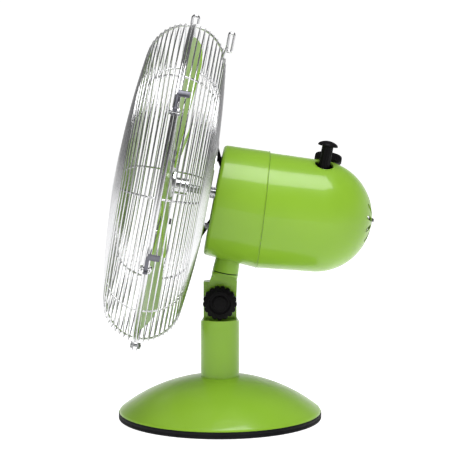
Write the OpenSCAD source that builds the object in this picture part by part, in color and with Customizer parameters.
// Metal desk fan: a domed weighted base, a post with a clamped tilt joint, a motor in a
// two-part bullet housing that swings on its neck, four blades and a chrome wire guard.
// Row frame: origin at the centre of the base's underside, +Z up, the fan blows along -Y.

/* [Stance] */
// Height of the tilt pivot above the table
pivot_h = 122.5; // [120:0.5:130]
// Upward tilt of the head at rest, in degrees
rest_tilt = 10.5; // [0:0.5:15]
// Height of the motor shaft above the tilt pivot, square to the shaft
axis_h = 109.4; // [108:0.2:112]

/* [Base] */
// Diameter over the rubber foot ring
base_d = 210.8; // [200:0.2:240]
// Height of the rubber foot ring
foot_h = 7.2; // [6:0.1:9]
// Height of the flat on top of the base dome
dome_h = 44; // [40:0.5:50]
// Sheet thickness of the base dome
base_wall = 1.6; // [1.2:0.1:2.5]

/* [Post and neck] */
// Diameter of the post
post_d = 40; // [38:0.5:44]
// Width of the post's upright ear
ear_w = 34.2; // [32:0.2:36]
// Height of the ear's top above the tilt pivot
ear_rise = 19.8; // [18:0.1:20]
// Diameter of the scalloped tilt knob
tilt_knob_d = 35.5; // [32:0.5:38]
// Diameter of the neck where it meets the tilt ear
neck_d = 27; // [26:0.2:28]

/* [Housing] */
// Diameter of the front casing at its front lip
case_front_d = 115; // [112:0.5:116]
// Diameter of the front casing at the seam
case_seam_d = 120.2; // [119.6:0.2:122]
// Sheet thickness of both casings
case_wall = 1.4; // [1:0.1:2]

/* [Guard] */
// Diameter over the guard's rim
guard_d = 332.8; // [328:0.4:340]
// Depth of the guard in front of the rim
front_depth = 51; // [48:0.5:54]
// Depth of the guard behind the rim
rear_depth = 49; // [46:0.5:50]
// Spacing of the wire rings along the guard's curve
ring_pitch = 5.6; // [5.2:0.1:8]
// Wire diameter of the rings
ring_wire = 2; // [1.6:0.1:2.2]
// Wire diameter of the ribs
rib_wire = 2.4; // [2:0.1:3]
// Wire diameter of the two rim rings
rim_wire = 4.4; // [4:0.1:4.6]

/* [Blades] */
// Diameter over the blade tips
blade_d = 305; // [290:1:308]
// Pitch of the blades, in degrees
blade_pitch = 9; // [8:1:14]

/* [Hidden] */
$fn = 96;
PLAY = 0.05;            // radial play of a running fit
GREEN = [0.58, 0.75, 0.20];
BLACK = [0.08, 0.08, 0.08];
CHROME = [0.82, 0.83, 0.85];
STEEL = [0.62, 0.63, 0.65];
ALLOY = [0.72, 0.73, 0.74];
BRASS = [0.78, 0.64, 0.34];
COPPER = [0.72, 0.42, 0.22];

// Base
base_r = base_d / 2;
ring_in = base_r - 8.5;
plate_z = 1;            // the plate sits a little above the table, inside the foot ring
plate_t = 2.5;
weight_z = plate_z + plate_t;
// The dome is one long arc, tangent to a small corner arc above the foot ring
dome_corner = 4;
dome_corner_x = base_r - 0.6 - dome_corner;
dome_corner_z = foot_h - 0.7;
dome_peak = dome_h + 1.2;
dome_low = dome_peak - dome_corner;
dome_centre = (pow(dome_corner_x, 2) + pow(dome_corner_z, 2) - pow(dome_low, 2))
    / (2 * (dome_low - dome_corner_z));
dome_arc = dome_peak + dome_centre;
dome_tangent = atan2(dome_corner_z + dome_centre, dome_corner_x);
weight_r = 80;
weight_h = 12;
base_screw_r = 68;
base_screw_angles = [30, 150, 270];
cover_hole_r = 5.3;

// Tilt joint
bolt_r = 4;
lap_x = 0.5;            // the two ears meet on a plane just beside the post's axis
neck_ear_t = 5.5;
ledge_z = pivot_h - 18.5;
knob_x = lap_x + neck_ear_t + 0.7;
knob_h = 13;
head_seat_x = -16.5;

// Neck and swivel
spindle_r = 6;
neck_r = neck_d / 2;
crotch_z = 27.4;
neck_seam_z = 30;
washer_t = 1;
collar_z = neck_seam_z + washer_t + 0.1;
collar_top_z = 47;
collar_top_r = 12.3;
bush_r = 8;
spindle_top = 63;
anchor_x = -14;
carrier_z = 56;
carrier_arm_z = 74;
carrier_y = -19.5;
carrier_w = 28;
shelf_t = 4;
fixing_post_r = 4.6;
fixing_screw_r = 1.6;

// Housing, in the head frame: y runs rearwards along the shaft, z is square to it
front_y = -25.5;
front_cz = 102.2;
seam_y = 26.5;
seam_cz = 101.6;
seam_lean = 3.6;
front_r = case_front_d / 2;
seam_r = case_seam_d / 2;
front_len = seam_y - front_y;
front_droop = atan((front_cz - seam_cz) / front_len);
rear_cz = 100.8;
rear_rise = 4.4;
rear_r = seam_r - 0.5;
dome_r = rear_r - 2;
dome_s = 54.5;
vent_in = 11;
vent_out = 25;
vent_half = 2.1;
lip_r = 4;

// Motor, in the motor frame: z runs forwards along the shaft from above the neck
shaft_r = 4;
stator_r = 38;
stator_front = -18;
stator_back = -46;
bracket_y = -stator_front - 16;
bracket_back_y = 15.9 - stator_back;
bracket_r = 40;
rotor_r = 21;
gear_y = 78.5;          // the gear train sits this far behind the neck axis
clutch_x = 18;
wheel_z = axis_h;
crank_z = 68;
gearbox_z = 90.5;
gearbox_h = 37.5;
gearbox_back = 96;
spindle_tip_z = 160;
crank_throw = 10;
worm_pitch = 2;
worm_l = 14;
link_z = 63.9;
link_t = 2.2;

// Controls
speed_y = 83.5;
speed_lean = 18;
stem_low = 150 - wheel_z;
stem_top = 180.5 - wheel_z;
cap_h = 4.9;

// Guard
rim_y = -78;
guard_r = guard_d / 2;
front_corner = 41;
rear_corner = 41;
ribs = 8;
weld = 0.15;
rib_inset = ring_wire + rib_wire / 2 - weld;
rim_r = guard_r - rim_wire / 2;
rim_a = rim_wire / 2 + 0.1;
first_ring = 8;
rear_rib_in = 42;
front_rib_in = 22;
badge_r = 34;
mount_r = 53;
mount_a = 46.1;
mount_t = 1.6;
fixing_r = 35;
mount_back = -rim_y - mount_a - mount_t;
spacer_back = 24.2;
spacer_r = 2.9;

// Handle, hook and clips
handle_x = 32;
handle_wire = 3;
handle_y = -40.3;
handle_low = 243;
curl_r = 2.6;
curl_z = 270.3;
grip_z = 257;
clip_places = [60, -60, 115, -115];
clip_pin_n = rim_wire / 2 + 3.6;
lever_l = 18;
tab_w = 3.6;
hook_r = 4.15;
hook_wire = 2.4;
hook_top = 6.6;
hook_f = -1.7;

// Blades
hub_front = 66.5;
hub_disc_t = 4;
hub_back = 54;
blade_a = 71.5;
shaft_front = hub_front + hub_disc_t + 3;
shaft_back = -91;
blade_t = 1.2;
hub_arm_t = 1.9;
blade_r = blade_d / 2;

// Frames ---------------------------------------------------------------------------------

module head_frame() translate([0, 0, pivot_h]) rotate([-rest_tilt, 0, 0]) children();
module motor_frame() head_frame() translate([0, 0, axis_h]) rotate([90, 0, 0]) children();
module guard_frame() motor_frame() translate([0, 0, -rim_y]) children();
// A place on the rim, counted from the top towards +X: x tangent, y outwards, z forwards
module rim_station(angle) guard_frame() rotate([0, 0, -angle]) translate([0, rim_r, 0]) children();
// A cylinder along +X
module x_cylinder(h, r, r2 = undef)
    rotate([0, 90, 0]) cylinder(h = h, r1 = r, r2 = is_undef(r2) ? r : r2);
module tube(h, outer, inner) difference() {
    cylinder(h = h, r = outer);
    translate([0, 0, -1]) cylinder(h = h + 2, r = inner);
}

// Base -----------------------------------------------------------------------------------

module base_plate() color(BLACK) difference() {
    translate([0, 0, plate_z]) cylinder(h = plate_t, r = ring_in - PLAY);
    for (a = base_screw_angles) rotate(a) translate([base_screw_r, 0, 0]) {
        cylinder(h = plate_z + 1.5, r = 4.4, $fn = 32);
        cylinder(h = weight_z + 1, r = 2.4, $fn = 32);
    }
}

module foot_ring() color(BLACK) rotate_extrude($fn = 192) difference() {
    translate([ring_in, 0]) square([base_r - ring_in, foot_h]);
    translate([base_r, 0]) rotate(45) square(1.6, center = true);
    translate([base_r, foot_h]) rotate(45) square(1.6, center = true);
}

// The dome's outline, moved inwards by o, up to a flat top
module dome_outline(o) intersection() {
    union() {
        intersection() {
            translate([0, -dome_centre]) circle(r = dome_arc - o, $fn = 240);
            square([(dome_arc - o) * cos(dome_tangent), dome_h + 5]);
        }
        translate([dome_corner_x, dome_corner_z]) circle(r = dome_corner - o, $fn = 48);
        square([dome_corner_x + dome_corner - o, dome_corner_z]);
    }
    square([base_r, dome_h - o]);
}

module base_cover() color(GREEN) rotate_extrude($fn = 192) difference() {
    dome_outline(0);
    dome_outline(base_wall);
    translate([-1, -1]) square([base_r + 5, foot_h + 1]);
    square([cover_hole_r, dome_h + 5]);
}

module base_weight() color(STEEL) translate([0, 0, weight_z]) difference() {
    tube(weight_h, weight_r, 30);
    for (a = base_screw_angles) rotate(a) translate([base_screw_r, 0, -1])
        cylinder(h = weight_h + 2, r = 2.05, $fn = 32);
}

module base_plate_screws() color(STEEL) for (a = base_screw_angles)
    rotate(a) translate([base_screw_r, 0, plate_z + 0.1]) {
        cylinder(h = 1.4, r = 4, $fn = 32);
        cylinder(h = weight_h, r = 2, $fn = 32);
    }

// Post and tilt joint ----------------------------------------------------------------------

// One casting: a round foot, then an upright ear cut back to the lap plane, with flat sides
module post() color(GREEN) difference() {
    intersection() {
        translate([0, 0, dome_h]) cylinder(h = pivot_h + ear_rise - dome_h, r = post_d / 2);
        rotate([90, 0, 90]) linear_extrude(height = post_d + 2, center = true) polygon([
            [-post_d, dome_h], [post_d, dome_h], [post_d, ledge_z - 3],
            [post_d / 2, ledge_z - 3], [ear_w / 2, ledge_z],
            [ear_w / 2, pivot_h + ear_rise], [-ear_w / 2, pivot_h + ear_rise],
            [-ear_w / 2, ledge_z], [-post_d / 2, ledge_z - 3], [-post_d, ledge_z - 3]]);
    }
    translate([-lap_x, -post_d, ledge_z]) cube([post_d, 2 * post_d, post_d * 2]);
    translate([-post_d, 0, pivot_h]) x_cylinder(2 * post_d, bolt_r + 0.2);
    translate([-post_d, 0, pivot_h]) x_cylinder(post_d + head_seat_x, 9.4);
    translate([0, 0, dome_h - 1]) cylinder(h = 34, r = 5.2, $fn = 48);
}

module post_bolt() color(STEEL) {
    translate([0, 0, dome_h - base_wall - 8]) cylinder(h = 6.1, r = 8, $fn = 6);
    translate([0, 0, dome_h - base_wall - 2]) cylinder(h = 1.9, r = 11, $fn = 48);
    translate([0, 0, dome_h - base_wall - 2]) cylinder(h = 30, r = 5, $fn = 48);
}

module tilt_bolt() color(STEEL) translate([0, 0, pivot_h]) difference() {
    union() {
        translate([head_seat_x - 3.4, 0, 0]) x_cylinder(3.3, 8.6);
        translate([head_seat_x - 0.2, 0, 0]) x_cylinder(knob_x + knob_h - 3 - head_seat_x, bolt_r);
    }
    translate([head_seat_x - 5, 0, 0]) rotate([0, 90, 0]) cylinder(h = 3.4, r = 3, $fn = 6);
}

module tilt_washer() color(BLACK) translate([-lap_x + 0.1, 0, pivot_h])
    rotate([0, 90, 0]) tube(0.8, 14.5, bolt_r + 0.15);

module tilt_knob() color(BLACK) translate([knob_x, 0, pivot_h]) rotate([0, 90, 0]) difference() {
    union() {
        cylinder(h = 2, r = 11);
        translate([0, 0, 1.5]) cylinder(h = knob_h - 3, r = tilt_knob_d / 2 - 2.2);
        translate([0, 0, knob_h - 1.51]) cylinder(h = 1.5, r1 = tilt_knob_d / 2 - 2.2, r2 = 13);
        for (i = [0:16]) rotate(i * 360 / 17) translate([tilt_knob_d / 2 - 2.1, 0, 1.5])
            cylinder(h = knob_h - 3.4, r = 2.1, $fn = 24);
    }
    translate([0, 0, knob_h - 1.2]) tube(3, 10.4, 7.4);
    translate([0, 0, -1]) cylinder(h = knob_h - 1.6, r = bolt_r + PLAY);
}

// The neck's ear laps the post's ear; its upper flange carries the upright swivel spindle
module neck_bracket() color(GREEN) head_frame() difference() {
    union() {
        intersection() {
            translate([lap_x, -20, -20]) cube([neck_ear_t, 40, 60]);
            union() {
                translate([lap_x, 0, 0]) x_cylinder(neck_ear_t, 17);
                rotate([90, 0, 90]) linear_extrude(height = 20)
                    polygon([[-17, 0], [17, 0], [neck_r, 24], [neck_r, neck_seam_z],
                        [-neck_r, neck_seam_z], [-neck_r, 24]]);
            }
        }
        translate([0, 0, crotch_z]) cylinder(h = neck_seam_z - crotch_z, r = neck_r);
        translate([0, 0, crotch_z]) cylinder(h = spindle_top - crotch_z, r = spindle_r);
    }
    // Facing cut round the tilt pivot
    translate([lap_x + neck_ear_t, 0, 0]) x_cylinder(20, neck_seam_z - 0.6);
    translate([-5, 0, 0]) x_cylinder(20, bolt_r + PLAY);
    // Trim the ear's upper corners to the neck's round
    translate([0, 0, 24]) tube(neck_seam_z - 24 + 1, neck_r + 8, neck_r);
}

module anchor_arm() color(STEEL) head_frame() difference() {
    union() {
        translate([0, 0, spindle_top - 2.4]) cylinder(h = 2.4, r = 10);
        translate([anchor_x, -4, spindle_top - 2.4]) cube([-anchor_x, 8, 2.4]);
        translate([anchor_x, 0, spindle_top - 2.4]) cylinder(h = 2.4, r = 4, $fn = 32);
    }
    translate([0, 0, spindle_top - 4]) cylinder(h = 6, r = spindle_r + 0.02);
}

// Neck and swivel, on the head -----------------------------------------------------------------

module neck_collar() color(GREEN) head_frame() translate([0, 0, collar_z]) difference() {
    cylinder(h = collar_top_z - collar_z, r1 = neck_r, r2 = collar_top_r);
    translate([0, 0, -1]) cylinder(h = 20, r = bush_r + 0.02);
}

// Flanged bush: its flange is the thrust washer between the neck and the collar
module swivel_bush() color(BLACK) head_frame() difference() {
    union() {
        translate([0, 0, neck_seam_z + 0.1]) cylinder(h = washer_t, r = neck_r - 1.2);
        translate([0, 0, neck_seam_z + 0.1]) cylinder(h = carrier_z + shelf_t - neck_seam_z, r = bush_r);
    }
    translate([0, 0, neck_seam_z - 1]) cylinder(h = 50, r = spindle_r + PLAY);
}

// Cast carrier: a boss round the bush, a front plate and two arms back to the motor's bracket
module swivel_carrier() color(ALLOY) head_frame() difference() {
    union() {
        translate([0, 0, collar_top_z]) cylinder(h = carrier_z + shelf_t - collar_top_z, r = 12);
        translate([-carrier_w / 2, carrier_y, carrier_z]) cube([carrier_w, -carrier_y, shelf_t]);
        translate([-carrier_w / 2, carrier_y, carrier_z])
            cube([carrier_w, shelf_t, carrier_arm_z + shelf_t - carrier_z]);
        translate([-carrier_w / 2, carrier_y, carrier_arm_z])
            cube([carrier_w, bracket_y - carrier_y, shelf_t]);
    }
    translate([0, 0, collar_top_z - 1]) cylinder(h = carrier_arm_z - collar_top_z, r = bush_r + 0.02);
    // Room for the lowest of the casing's fixing posts
    translate([0, carrier_y - 1, axis_h - fixing_r]) rotate([-90, 0, 0])
        cylinder(h = 40, r = fixing_post_r + 0.4);
}

// Housing --------------------------------------------------------------------------------------

module seam_plane() head_frame() translate([0, seam_y, seam_cz]) rotate([seam_lean, 0, 0]) children();
module front_axis() head_frame() translate([0, front_y, front_cz]) rotate([-90 - front_droop, 0, 0])
    children();
module rear_line() translate([0, seam_y, rear_cz]) rotate([-90 + rear_rise, 0, 0]) children();
module rear_axis() head_frame() rear_line() children();

// Outline of the front casing, drawn along its axis, moved inwards by o
module front_outline(o) {
    polygon([[0, lip_r], [front_r - o, lip_r], [seam_r + 0.5 - o, front_len + 10], [0, front_len + 10]]);
    square([front_r - lip_r, lip_r + 1]);
    translate([front_r - lip_r, lip_r]) circle(r = lip_r - o, $fn = 48);
}

module front_housing() color(GREEN) difference() {
    front_axis() rotate_extrude($fn = 192) difference() {
        front_outline(0);
        difference() {
            front_outline(case_wall);
            square([front_r, case_wall]);
        }
        translate([-1, -1]) square([front_r - 7 + 1, 5]);
    }
    seam_plane() translate([-100, 0, -100]) cube([200, 60, 200]);
    head_frame() translate([0, 0, 20]) cylinder(h = 40, r = collar_top_r + 1);
}

module rear_outline(o) {
    translate([0, dome_s]) circle(r = dome_r - o, $fn = 192);
    polygon([[0, -12], [rear_r + 0.4 - o, -12], [dome_r - o, dome_s], [0, dome_s]]);
}

module rear_housing() color(GREEN) difference() {
    rear_axis() rotate_extrude($fn = 192) intersection() {
        difference() {
            rear_outline(0);
            rear_outline(case_wall);
        }
        translate([0, -20]) square([100, 200]);
    }
    seam_plane() translate([-100, -59.7, -100]) cube([200, 60, 200]);
    // Radial vents round the rear screw
    rear_axis() for (i = [0:11]) rotate(i * 30 + 15) {
        translate([vent_in, -vent_half, dome_s + 30]) cube([vent_out - vent_in, 2 * vent_half, 40]);
        for (r = [vent_in, vent_out]) translate([r, 0, dome_s + 30]) cylinder(h = 40, r = vent_half, $fn = 24);
    }
    rear_axis() cylinder(h = 200, r = 2.4, $fn = 24);
    clutch_axis() cylinder(h = 90, r = 9.6);
    speed_axis() translate([0, 0, -20]) cylinder(h = 40, r = 5);
    cord_axis() translate([0, 0, -20]) cylinder(h = 40, r = 5.2, $fn = 48);
}

module motor_face_plate() color(BLACK) difference() {
    front_axis() translate([0, 0, 2]) cylinder(h = 1.5, r = front_r - case_wall - 1.6);
    motor_frame() cylinder(h = 100, r = 13);
    motor_frame() fixing_circle() cylinder(h = 60, r = 2, $fn = 24);
}

module rear_housing_screw() color(CHROME) rear_axis() {
    translate([0, 0, dome_s + dome_r - 0.1]) cylinder(h = 2.2, r1 = 4.4, r2 = 3.2, $fn = 48);
    translate([0, 0, gearbox_back - 2 - seam_y])
        cylinder(h = dome_s + dome_r - gearbox_back + 2 + seam_y, r = 2, $fn = 24);
}

// Gland for the mains lead, low on the far side of the rear casing
module cord_axis() rear_axis() translate([0, 0, 34]) rotate([0, -90, 0])
    rotate([0, 38, 0]) translate([0, 0, rear_r - 1]) children();
module cord_grommet() color(BLACK) cord_axis() difference() {
    union() {
        translate([0, 0, -3]) cylinder(h = 10, r = 4.9, $fn = 48);
        translate([0, 0, 1.2]) cylinder(h = 2, r = 8, $fn = 48);
        translate([0, 0, 7]) cylinder(h = 4, r1 = 4.9, r2 = 4, $fn = 48);
    }
    translate([0, 0, -5]) cylinder(h = 25, r = 2.8, $fn = 48);
}

// Motor ----------------------------------------------------------------------------------------

module fixing_circle() for (a = [0:90:270]) rotate(a) translate([fixing_r, 0, 0]) children();
module tie_circle() for (a = [45:90:315]) rotate(a) translate([33.5, 0, 0]) children();

module motor_front_bracket() color(ALLOY) motor_frame() difference() {
    union() {
        translate([0, 0, stator_front]) tube(12, bracket_r, bracket_r - 4);
        translate([0, 0, stator_front + 12]) cylinder(h = 4, r = bracket_r);
        translate([0, 0, stator_front + 12]) cylinder(h = 14, r = 12);
        fixing_circle() translate([0, 0, stator_front + 12]) cylinder(h = 26.5, r = fixing_post_r, $fn = 32);
    }
    translate([0, 0, -60]) cylinder(h = 100, r = 8);
    fixing_circle() translate([0, 0, -10]) cylinder(h = 100, r = fixing_screw_r + PLAY, $fn = 24);
    tie_circle() translate([0, 0, -60]) cylinder(h = 100, r = 2.1, $fn = 24);
}

module motor_rear_bracket() color(ALLOY) motor_frame() difference() {
    union() {
        translate([0, 0, stator_back - 12]) tube(12, bracket_r, bracket_r - 4);
        translate([0, 0, -bracket_back_y]) cylinder(h = 4, r = bracket_r);
    }
    translate([0, 0, -90]) cylinder(h = 60, r = 8);
    tie_circle() translate([0, 0, -90]) cylinder(h = 100, r = 2.1, $fn = 24);
}

module stator_core() color(STEEL) motor_frame() translate([0, 0, stator_back + 0.05]) difference() {
    tube(stator_front - stator_back - 0.1, stator_r, rotor_r + 0.5);
    tie_circle() translate([0, 0, -1]) cylinder(h = 100, r = 2.1, $fn = 24);
}

module stator_windings() color(COPPER) motor_frame()
    for (z = [stator_front + 0.1, stator_back - 8.1]) translate([0, 0, z]) tube(8, 30, rotor_r + 3);

module motor_tie_bolts() color(STEEL) motor_frame() tie_circle() {
    translate([0, 0, stator_back - 15.8]) cylinder(h = 62, r = 2, $fn = 24);
    translate([0, 0, stator_back - 19]) cylinder(h = 3, r = 4, $fn = 6);
}

module shaft_bearings() color(BRASS) motor_frame() {
    translate([0, 0, stator_front + 12]) tube(14, 7.98, shaft_r + PLAY);
    translate([0, 0, stator_back - 16]) tube(6, 7.98, shaft_r + PLAY);
}

// Gear train, in the head frame: the clutch spindle and the crank stand square to the shaft
module clutch_axis() head_frame() translate([clutch_x, gear_y, wheel_z]) children();
module crank_axis() head_frame() translate([0, gear_y, crank_z]) children();

// Two shelves between a web on the motor's rear bracket and a lug for the rear casing's screw
module gearbox_frame() color(ALLOY) head_frame() difference() {
    union() {
        translate([-12, bracket_back_y, gearbox_z]) cube([40, 2.6, gearbox_h]);
        translate([-12, bracket_back_y, gearbox_z]) cube([40, gearbox_back - bracket_back_y, shelf_t]);
        translate([-12, bracket_back_y, gearbox_z + gearbox_h - shelf_t])
            cube([40, gearbox_back - bracket_back_y, shelf_t]);
        translate([-12, gearbox_back - 3, gearbox_z]) cube([18, 3, gearbox_h]);
        translate([0, gear_y, crank_z + 0.2]) cylinder(h = gearbox_z - crank_z, r = 3, $fn = 48);
    }
    translate([clutch_x, gear_y, 60]) cylinder(h = 90, r = 3 + PLAY, $fn = 48);
    translate([0, bracket_back_y - 2, axis_h]) rotate([-90, 0, 0]) cylinder(h = 20, r = 9);
    rear_line() cylinder(h = 120, r = 2.05, $fn = 24);
}

module run_capacitor() color(BLACK) head_frame() translate([-38, 68, 96]) cube([14, 22, 34]);

module speed_switch() color(BLACK) speed_axis() {
    translate([-12, -12, -26]) cube([24, 24, 18]);
    translate([0, 0, -8.1]) cylinder(h = 6, r = 4.4, $fn = 48);
}

// Controls -------------------------------------------------------------------------------------

// The speed knob stands square to the casing, on the far side of the crown
module speed_axis() head_frame() translate([0, speed_y, 104.9]) rotate([0, -speed_lean, 0])
    translate([0, 0, dome_r - 0.6]) children();
module speed_knob() color(BLACK) speed_axis() difference() {
    union() {
        translate([0, 0, 1.2]) cylinder(h = 7, r = 13.6);
        translate([0, 0, 8.19]) cylinder(h = 1, r1 = 13.6, r2 = 12.4);
        for (i = [0:35]) rotate(i * 10) translate([13.5, 0, 1.2]) cylinder(h = 6.6, r = 0.8, $fn = 16);
        translate([-1.2, 0, 9.1]) cube([2.4, 11, 1]);
    }
    translate([0, 0, -1]) cylinder(h = 7, r = 2.6, $fn = 32);
}

// Pull-up knob of the oscillation clutch: a ribbed stem under a mushroom cap
module oscillation_knob() color(BLACK) clutch_axis() difference() {
    union() {
        translate([0, 0, stem_low]) cylinder(h = stem_top - stem_low, r = 5.1);
        for (i = [0:11]) rotate(i * 30) translate([5, 0, stem_low + 1])
            cylinder(h = stem_top - stem_low - 3, r = 0.7, $fn = 16);
        translate([0, 0, stem_top - 1.2]) rotate_extrude() intersection() {
            square([10.3, cap_h]);
            translate([0, cap_h - 17]) circle(r = 17, $fn = 256);
        }
    }
    translate([0, 0, stem_low - 1]) cylinder(h = 19, r = 2.4 + PLAY, $fn = 48);
}

// Rotor ----------------------------------------------------------------------------------------

// The worm's thread is drawn as a row of ridges round the shaft
module motor_shaft() color(STEEL) motor_frame() {
    translate([0, 0, shaft_back]) cylinder(h = shaft_front - shaft_back, r = shaft_r);
    translate([0, 0, -gear_y - worm_l / 2]) rotate_extrude() {
        square([4.4, worm_l]);
        for (i = [1:worm_l / worm_pitch - 1]) translate([0, i * worm_pitch - 0.5])
            polygon([[4, 0], [4.9, 0.3], [4.9, 0.7], [4, 1]]);
    }
}

module rotor_core() color(STEEL) motor_frame() translate([0, 0, stator_back + 0.5])
    tube(stator_front - stator_back - 1, rotor_r, shaft_r + 0.01);

// A spur wheel's outline: teeth on a root circle
module gear_outline(teeth, root, tip, width)
    union() {
        circle(r = root);
        for (i = [0:teeth - 1]) rotate(i * 360 / teeth)
            polygon([[root - 0.3, -width], [tip, -width * 0.6], [tip, width * 0.6], [root - 0.3, width]]);
    }

module clutch_spindle() color(STEEL) clutch_axis() {
    translate([0, 0, crank_z - wheel_z]) cylinder(h = 138 - crank_z, r = 3, $fn = 48);
    translate([0, 0, crank_z - wheel_z]) cylinder(h = spindle_tip_z - crank_z, r = 2.4, $fn = 48);
    translate([0, 0, crank_z - wheel_z]) rotate(18) linear_extrude(height = 6)
        gear_outline(10, 3.06, 3.5, 0.24);
}

module worm_wheel() color(BRASS) clutch_axis() translate([0, 0, -3]) difference() {
    linear_extrude(height = 6) gear_outline(40, 11.8, 12.7, 0.45);
    translate([0, 0, -1]) cylinder(h = 10, r = 3.01, $fn = 48);
}

module crank_gear() color(BRASS) crank_axis() difference() {
    union() {
        linear_extrude(height = 6) gear_outline(50, 14.2, 14.85, 0.25);
        translate([-crank_throw, 0, link_z - crank_z - 0.2]) cylinder(h = 5, r = 2, $fn = 48);
    }
    translate([0, 0, -1]) cylinder(h = 10, r = 3 + PLAY, $fn = 48);
}

// Connecting link; its front pivot on the anchor arm is left open
module link_arm() color(STEEL) head_frame() difference() {
    union() {
        translate([-crank_throw, gear_y, link_z]) cylinder(h = link_t, r = 4, $fn = 48);
        translate([anchor_x, 0, link_z]) cylinder(h = link_t, r = 4, $fn = 48);
        translate([0, 0, link_z]) linear_extrude(height = link_t)
            polygon([[anchor_x - 3, 0], [anchor_x + 3, 0], [-crank_throw + 3, gear_y],
                [-crank_throw - 3, gear_y]]);
    }
    translate([-crank_throw, gear_y, link_z - 1]) cylinder(h = 6, r = 2 + PLAY, $fn = 48);
    translate([anchor_x, 0, link_z - 1]) cylinder(h = 6, r = 2.1, $fn = 48);
}

// Blades ---------------------------------------------------------------------------------------

module blade_station(k) motor_frame() translate([0, 0, blade_a]) rotate(k * 90)
    rotate([0, blade_pitch, 0]) children();
module rivet_places() for (u = [24, 33], v = [-6, 6]) translate([v, u, 0]) children();

// Paddle with a rounded tip, along +Y, and a narrow root tab
module fan_blade(k) color(GREEN) blade_station(k) difference() {
    linear_extrude(height = blade_t) union() {
        intersection() {
            offset(r = 24, $fn = 48) offset(delta = -24) intersection() {
                polygon([[-24, 18], [-62, 128], [-62, 180], [62, 180], [62, 128], [24, 18]]);
                circle(r = blade_r, $fn = 120);
            }
            translate([-80, 30]) square([160, 140]);
        }
        translate([-13, 19]) square([26, 22]);
    }
    translate([0, 0, -1]) rivet_places() cylinder(h = 5, r = 1.7, $fn = 24);
}
module fan_blade_1() fan_blade(0);
module fan_blade_2() fan_blade(1);
module fan_blade_3() fan_blade(2);
module fan_blade_4() fan_blade(3);

module blade_hub() color(CHROME) difference() {
    union() {
        motor_frame() translate([0, 0, hub_back]) cylinder(h = hub_front - hub_back, r = 8.8);
        motor_frame() translate([0, 0, hub_front - 0.1]) cylinder(h = hub_disc_t + 0.1, r = 17);
        for (k = [0:3]) blade_station(k) translate([-9, 8, -hub_arm_t]) cube([18, 31, hub_arm_t]);
    }
    motor_frame() translate([0, 0, 40]) cylinder(h = 60, r = shaft_r + 0.01);
    // Seat for the nut between the arms' roots
    motor_frame() translate([0, 0, hub_front + hub_disc_t]) cylinder(h = 20, r = 12.4);
    for (k = [0:3]) blade_station(k) translate([0, 0, -5]) rivet_places() cylinder(h = 9, r = 1.7, $fn = 24);
}

module blade_rivets() color(STEEL) for (k = [0:3]) blade_station(k) rivet_places() {
    translate([0, 0, -1.95]) cylinder(h = blade_t + 2, r = 1.6, $fn = 24);
    translate([0, 0, blade_t + 0.02]) cylinder(h = 1.2, r1 = 3, r2 = 1.8, $fn = 24);
}

module spinner_nut() color(BLACK) motor_frame() translate([0, 0, hub_front + hub_disc_t]) difference() {
    union() {
        cylinder(h = 6, r = 12, $fn = 48);
        translate([0, 0, 5.99]) cylinder(h = 5, r1 = 12, r2 = 7, $fn = 48);
    }
    translate([0, 0, -1]) cylinder(h = 4.4, r = shaft_r + 0.01, $fn = 48);
}

// Guard ----------------------------------------------------------------------------------------

// The guard's outline is a corner arc from the rim, then a shallow dome arc tangent to it
function dome_c(depth, corner) =
    (pow(guard_r - corner, 2) - pow(depth - corner, 2)) / (2 * (depth - corner));
function corner_end(depth, corner) = atan2(dome_c(depth, corner), guard_r - corner);
// Angle, arc radius and centre at a length s in from the rim
function on_corner(s, depth, corner) = s < corner_end(depth, corner) * PI / 180 * corner;
function arc_angle(s, depth, corner) = on_corner(s, depth, corner)
    ? s / corner * 180 / PI
    : corner_end(depth, corner)
        + (s - corner_end(depth, corner) * PI / 180 * corner) / (depth + dome_c(depth, corner)) * 180 / PI;
// Radius and height of a point set inwards by o
function guard_point(s, depth, corner, o) = let (t = arc_angle(s, depth, corner))
    on_corner(s, depth, corner)
    ? [guard_r - corner + (corner - o) * cos(t), (corner - o) * sin(t)]
    : let (d = depth + dome_c(depth, corner))
        [(d - o) * cos(t), (d - o) * sin(t) - dome_c(depth, corner)];

module guard_rings(depth, corner, inner_r)
    for (i = [0:40]) let (p = guard_point(first_ring + i * ring_pitch, depth, corner, ring_wire / 2))
        if (p[0] > inner_r && arc_angle(first_ring + i * ring_pitch, depth, corner) < 90)
            rotate_extrude($fn = 144) translate(p) circle(r = ring_wire / 2, $fn = 8);

// An arc of wire in the plane of a rib: n outwards, f forwards
module wire_arc(n, f, radius, from, to, wire)
    translate([0, n, f]) rotate([90, 0, 90]) rotate(from)
        rotate_extrude(angle = to - from, $fn = 256) translate([radius, 0]) circle(r = wire / 2, $fn = 20);

module guard_ribs(depth, corner, inner_r) let (
    c = dome_c(depth, corner), e = corner_end(depth, corner), d = depth + c - rib_inset)
    for (k = [0:ribs - 1]) rotate(k * 360 / ribs) {
        wire_arc(guard_r - corner, 0, corner - rib_inset, 5.5, e, rib_wire);
        wire_arc(0, -c, d, e, acos(inner_r / d), rib_wire);
        translate([0, d * cos(e), d * sin(e) - c]) sphere(r = rib_wire / 2 + 0.15, $fn = 32);
    }

module guard_rim() rotate_extrude($fn = 192) translate([rim_r, rim_a]) circle(r = rim_wire / 2, $fn = 12);

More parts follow.
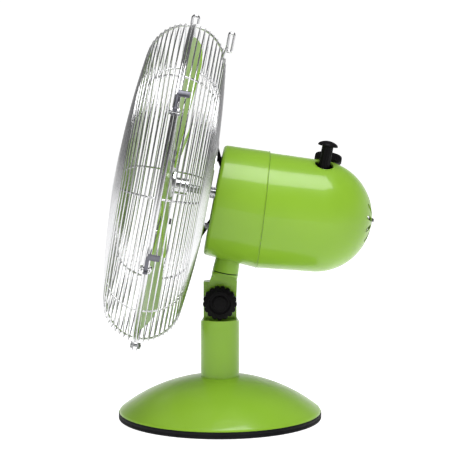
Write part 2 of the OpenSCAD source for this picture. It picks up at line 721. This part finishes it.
module front_guard_rings() color(CHROME) guard_frame() guard_rings(front_depth, front_corner, badge_r + 2);
module front_guard_ribs() color(CHROME) guard_frame() guard_ribs(front_depth, front_corner, front_rib_in);
module front_guard_rim() color(CHROME) guard_frame() guard_rim();
module rear_guard_rings() color(CHROME) guard_frame() mirror([0, 0, 1])
    guard_rings(rear_depth, rear_corner, mount_r + 2);
module rear_guard_ribs() color(CHROME) guard_frame() mirror([0, 0, 1])
    guard_ribs(rear_depth, rear_corner, rear_rib_in);
module rear_guard_rim() color(CHROME) guard_frame() mirror([0, 0, 1]) guard_rim();

module front_badge() color(CHROME) guard_frame() translate([0, 0, front_depth - 2.4]) {
    cylinder(h = 1.6, r = badge_r);
    translate([0, 0, 1.59]) cylinder(h = 1, r1 = badge_r - 1, r2 = badge_r - 3);
}

module guard_mount_ring() color(CHROME) guard_frame() mirror([0, 0, 1]) difference() {
    translate([0, 0, mount_a]) tube(mount_t, mount_r, 24);
    fixing_circle() translate([0, 0, mount_a - 1]) cylinder(h = 20, r = 2, $fn = 24);
}

// Hex spacers between the casing and the guard, with the screws that go through them
module guard_fixings() color(CHROME) motor_frame() fixing_circle() {
    translate([0, 0, spacer_back]) difference() {
        cylinder(h = mount_back - spacer_back, r = spacer_r, $fn = 6);
        translate([0, 0, -1]) cylinder(h = 20, r = fixing_screw_r + PLAY, $fn = 24);
    }
    translate([0, 0, mount_back + mount_t]) cylinder(h = 2.4, r1 = 3.6, r2 = 2.8, $fn = 24);
    cylinder(h = mount_back + mount_t + 1, r = fixing_screw_r, $fn = 24);
}

// Carry handle: two legs that curl over rearwards, joined by a grip bar
module carry_handle() color(CHROME) head_frame() {
    for (x = [-handle_x, handle_x]) {
        translate([x, handle_y, handle_low])
            cylinder(h = curl_z - handle_low, r = handle_wire / 2, $fn = 24);
        translate([x, handle_y + curl_r, curl_z]) rotate([90, 0, 90]) rotate_extrude(angle = 180, $fn = 96)
            translate([curl_r, 0]) circle(r = handle_wire / 2, $fn = 24);
        translate([x, handle_y + 2 * curl_r, grip_z]) {
            cylinder(h = curl_z - grip_z, r = handle_wire / 2, $fn = 24);
            sphere(r = handle_wire / 2, $fn = 24);
        }
    }
    translate([-handle_x, handle_y + 2 * curl_r, grip_z]) x_cylinder(2 * handle_x, handle_wire / 2);
}

// Clips ----------------------------------------------------------------------------------------

// Hook on the front rim that hangs over the rear rim, and a strap with a hinge pin at each clip
module guard_hook_and_loops() color(CHROME) {
    rim_station(0) translate([0, 0, hook_f]) {
        translate([0, hook_top, 0]) rotate([0, -90, 0]) rotate_extrude(angle = 180, $fn = 96)
            translate([hook_r, 0]) circle(r = hook_wire / 2, $fn = 24);
        translate([0, 0.5, hook_r]) rotate([-90, 0, 0])
            cylinder(h = hook_top - 0.5, r = hook_wire / 2, $fn = 24);
        translate([0, 2.2, -hook_r]) rotate([-90, 0, 0])
            cylinder(h = hook_top - 2.2, r = hook_wire / 2, $fn = 24);
    }
    for (a = clip_places) rim_station(a) {
        difference() {
            translate([-2, -3.2, -5.8]) cube([4, 6.4, 11.6]);
            translate([-3, -2.15, -4.8]) cube([6, 4.3, 9.6]);
        }
        for (z = [-4.6, 3.4]) translate([-2, 3.1, z]) cube([4, clip_pin_n - 1.2, 1.2]);
        translate([0, clip_pin_n, -4.5]) cylinder(h = 9, r = 1, $fn = 32);
    }
}

// A lever lies along the rim towards the top, with a finger tab that points rearwards
module clip_lever(a) color(STEEL) rim_station(a) mirror([a > 0 ? 1 : 0, 0, 0]) difference() {
    union() {
        translate([0, clip_pin_n, -3]) cylinder(h = 6, r = 1.9, $fn = 32);
        translate([0, clip_pin_n, -2]) rotate(3) translate([0, -0.8, 0]) cube([lever_l, 1.6, 4]);
        translate([lever_l - 0.2, clip_pin_n, -14]) cube([tab_w, 1.6, 16]);
    }
    translate([0, clip_pin_n, -5]) cylinder(h = 10, r = 1 + PLAY, $fn = 32);
}
module clip_lever_1() clip_lever(clip_places[0]);
module clip_lever_2() clip_lever(clip_places[1]);
module clip_lever_3() clip_lever(clip_places[2]);
module clip_lever_4() clip_lever(clip_places[3]);

// Screw clamp that holds the two rims together at the bottom
module guard_clamp() color(STEEL) rim_station(180) {
    for (z = [-2.9, 1.7]) translate([0, 0, z]) difference() {
        translate([-4.5, rim_wire / 2 - 0.4, 0]) cube([9, 9.8, 1.2]);
        translate([0, 7, -1]) cylinder(h = 4, r = 1.8, $fn = 24);
    }
    translate([0, 7, -6]) cylinder(h = 11, r = 1.6, $fn = 24);
    translate([0, 7, 2.9]) cylinder(h = 2.4, r = 3.4, $fn = 24);
    translate([0, 7, -5.3]) cylinder(h = 2.4, r = 3.6, $fn = 6);
}

base_plate();
foot_ring();
base_cover();
base_weight();
base_plate_screws();
post();
post_bolt();
tilt_bolt();
tilt_washer();
tilt_knob();
neck_bracket();
anchor_arm();
neck_collar();
swivel_bush();
swivel_carrier();
front_housing();
rear_housing();
motor_face_plate();
rear_housing_screw();
cord_grommet();
motor_front_bracket();
motor_rear_bracket();
stator_core();
stator_windings();
motor_tie_bolts();
shaft_bearings();
gearbox_frame();
run_capacitor();
speed_switch();
speed_knob();
oscillation_knob();
motor_shaft();
rotor_core();
clutch_spindle();
worm_wheel();
crank_gear();
link_arm();
blade_hub();
fan_blade_1();
fan_blade_2();
fan_blade_3();
fan_blade_4();
blade_rivets();
spinner_nut();
guard_mount_ring();
guard_fixings();
rear_guard_rings();
rear_guard_ribs();
rear_guard_rim();
front_guard_rings();
front_guard_ribs();
front_guard_rim();
front_badge();
carry_handle();
guard_hook_and_loops();
clip_lever_1();
clip_lever_2();
clip_lever_3();
clip_lever_4();
guard_clamp();
